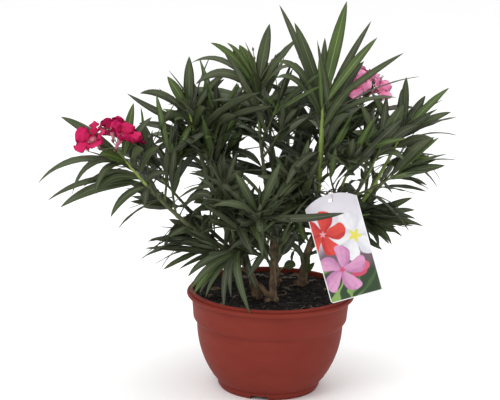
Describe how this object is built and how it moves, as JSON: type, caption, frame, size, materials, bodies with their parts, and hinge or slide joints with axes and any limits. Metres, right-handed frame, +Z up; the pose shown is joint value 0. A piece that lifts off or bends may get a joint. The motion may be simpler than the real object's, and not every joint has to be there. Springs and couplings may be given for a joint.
{
  "type": "potted oleander shrub",
  "caption": "Young oleander shrub in a round bowl pot: woody stems, green boughs, whorls of long narrow leaves, funnel blossoms and a hanging picture card.",
  "frame": {"origin": "middle of the pot's flat underside, which stands on the ground", "axes": "+Z up along the pot's axis, +X along the crown's greatest width, -Y towards the side where the picture card hangs"},
  "size_m": [0.6159, 0.4046, 0.5958],
  "materials": {
    "pot": "matt moulded plastic, terracotta red",
    "compost": "loose dark potting compost",
    "woody_stem": "brown bark",
    "green_bough": "smooth green bark",
    "foliage": "leathery leaves",
    "picture_card": "printed card, satin",
    "card_tie": "satin"
  },
  "bodies": {
    "root": {"pot": "pot", "compost": "compost", "stem_back": "woody_stem", "stem_front": "woody_stem", "stem_left": "woody_stem", "stem_right": "woody_stem", "bough_back_centre": "green_bough", "bough_back_left": "green_bough", "bough_back_right": "green_bough", "bough_centre_front": "green_bough", "bough_far_left": "green_bough", "bough_far_right": "green_bough", "bough_front_left": "green_bough", "bough_front_low": "green_bough", "bough_front_right": "green_bough", "bough_left_flower": "green_bough", "bough_low_back": "green_bough", "bough_low_back_left": "green_bough", "bough_low_front": "green_bough", "bough_low_left": "green_bough", "bough_low_right": "green_bough", "bough_mid_high": "green_bough", "bough_mid_left": "green_bough", "bough_pink_flower": "green_bough", "bough_right_inner": "green_bough", "bough_right_outer": "green_bough", "bough_tall_right": "green_bough", "bough_top_centre": "green_bough", "bough_upper_left": "green_bough", "foliage_back_centre": "foliage", "foliage_back_left": "foliage", "foliage_back_right": "foliage", "foliage_centre_front": "foliage", "foliage_far_left": "foliage", "foliage_far_right": "foliage", "foliage_front_left": "foliage", "foliage_front_low": "foliage", "foliage_front_right": "foliage", "foliage_left_flower": "foliage", "foliage_low_back": "foliage", "foliage_low_back_left": "foliage", "foliage_low_front": "foliage", "foliage_low_left": "foliage", "foliage_low_right": "foliage", "foliage_mid_high": "foliage", "foliage_mid_left": "foliage", "foliage_pink_flower": "foliage", "foliage_right_inner": "foliage", "foliage_right_outer": "foliage", "foliage_tall_right": "foliage", "foliage_top_centre": "foliage", "foliage_upper_left": "foliage", "picture_card": "picture_card", "card_tie": "card_tie"}
  },
  "joints": []
}
